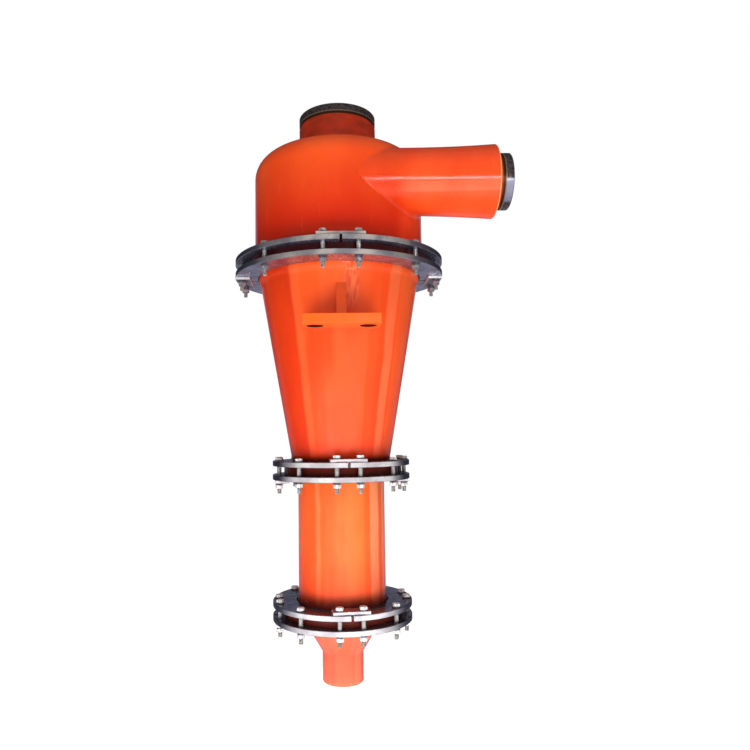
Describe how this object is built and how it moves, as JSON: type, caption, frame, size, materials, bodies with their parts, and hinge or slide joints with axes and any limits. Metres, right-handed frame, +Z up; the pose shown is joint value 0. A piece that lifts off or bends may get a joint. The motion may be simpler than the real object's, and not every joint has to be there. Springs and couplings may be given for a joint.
{
  "type": "hydrocyclone",
  "caption": "Cast polyurethane hydrocyclone with tangential feed inlet, top overflow pipe, long cone and spigot, clamped at split steel backing rings; sorts slurry by particle size",
  "frame": {"origin": "on the cyclone's axis, in the plane of the mounting lugs' undersides, at the middle of their four holes", "axes": "+Z up along the axis towards the overflow pipe, +X towards the feed inlet, -Y towards the front lug"},
  "size_m": [0.5405, 0.4398, 1.1435],
  "materials": {
    "polyurethane": "satin, cast orange polyurethane",
    "pipe_steel": "dark rolled steel with turned ends",
    "ring_steel": "cut steel plate, slightly dulled",
    "lap_steel": "cut steel plate",
    "fastener_zinc": "zinc plated",
    "seal_rubber": "black rubber"
  },
  "bodies": {
    "root": {"feed_head": "polyurethane", "inlet_pipe": "pipe_steel", "lower_bottom_lap_left": "lap_steel", "lower_bottom_lap_right": "lap_steel", "lower_bottom_ring_back": "ring_steel", "lower_bottom_ring_front": "ring_steel", "lower_long_bolts": "fastener_zinc", "lower_nuts": "fastener_zinc", "lower_seal": "seal_rubber", "lower_section": "polyurethane", "lower_short_bolts": "fastener_zinc", "lower_spring_washers": "fastener_zinc", "lower_top_lap_back": "lap_steel", "lower_top_lap_front": "lap_steel", "lower_top_ring_left": "ring_steel", "lower_top_ring_right": "ring_steel", "lower_washers": "fastener_zinc", "middle_bottom_lap_left": "lap_steel", "middle_bottom_lap_right": "lap_steel", "middle_bottom_ring_back": "ring_steel", "middle_bottom_ring_front": "ring_steel", "middle_long_bolts": "fastener_zinc", "middle_nuts": "fastener_zinc", "middle_seal": "seal_rubber", "middle_short_bolts": "fastener_zinc", "middle_spring_washers": "fastener_zinc", "middle_top_lap_back": "lap_steel", "middle_top_lap_front": "lap_steel", "middle_top_ring_left": "ring_steel", "middle_top_ring_right": "ring_steel", "middle_washers": "fastener_zinc", "overflow_pipe": "pipe_steel", "spigot": "polyurethane", "upper_bottom_lap_left": "lap_steel", "upper_bottom_lap_right": "lap_steel", "upper_bottom_ring_back": "ring_steel", "upper_bottom_ring_front": "ring_steel", "upper_cone": "polyurethane", "upper_long_bolts": "fastener_zinc", "upper_nuts": "fastener_zinc", "upper_seal": "seal_rubber", "upper_short_bolts": "fastener_zinc", "upper_spring_washers": "fastener_zinc", "upper_top_lap_back": "lap_steel", "upper_top_lap_front": "lap_steel", "upper_top_ring_left": "ring_steel", "upper_top_ring_right": "ring_steel", "upper_washers": "fastener_zinc", "vortex_finder": "polyurethane"}
  },
  "joints": []
}
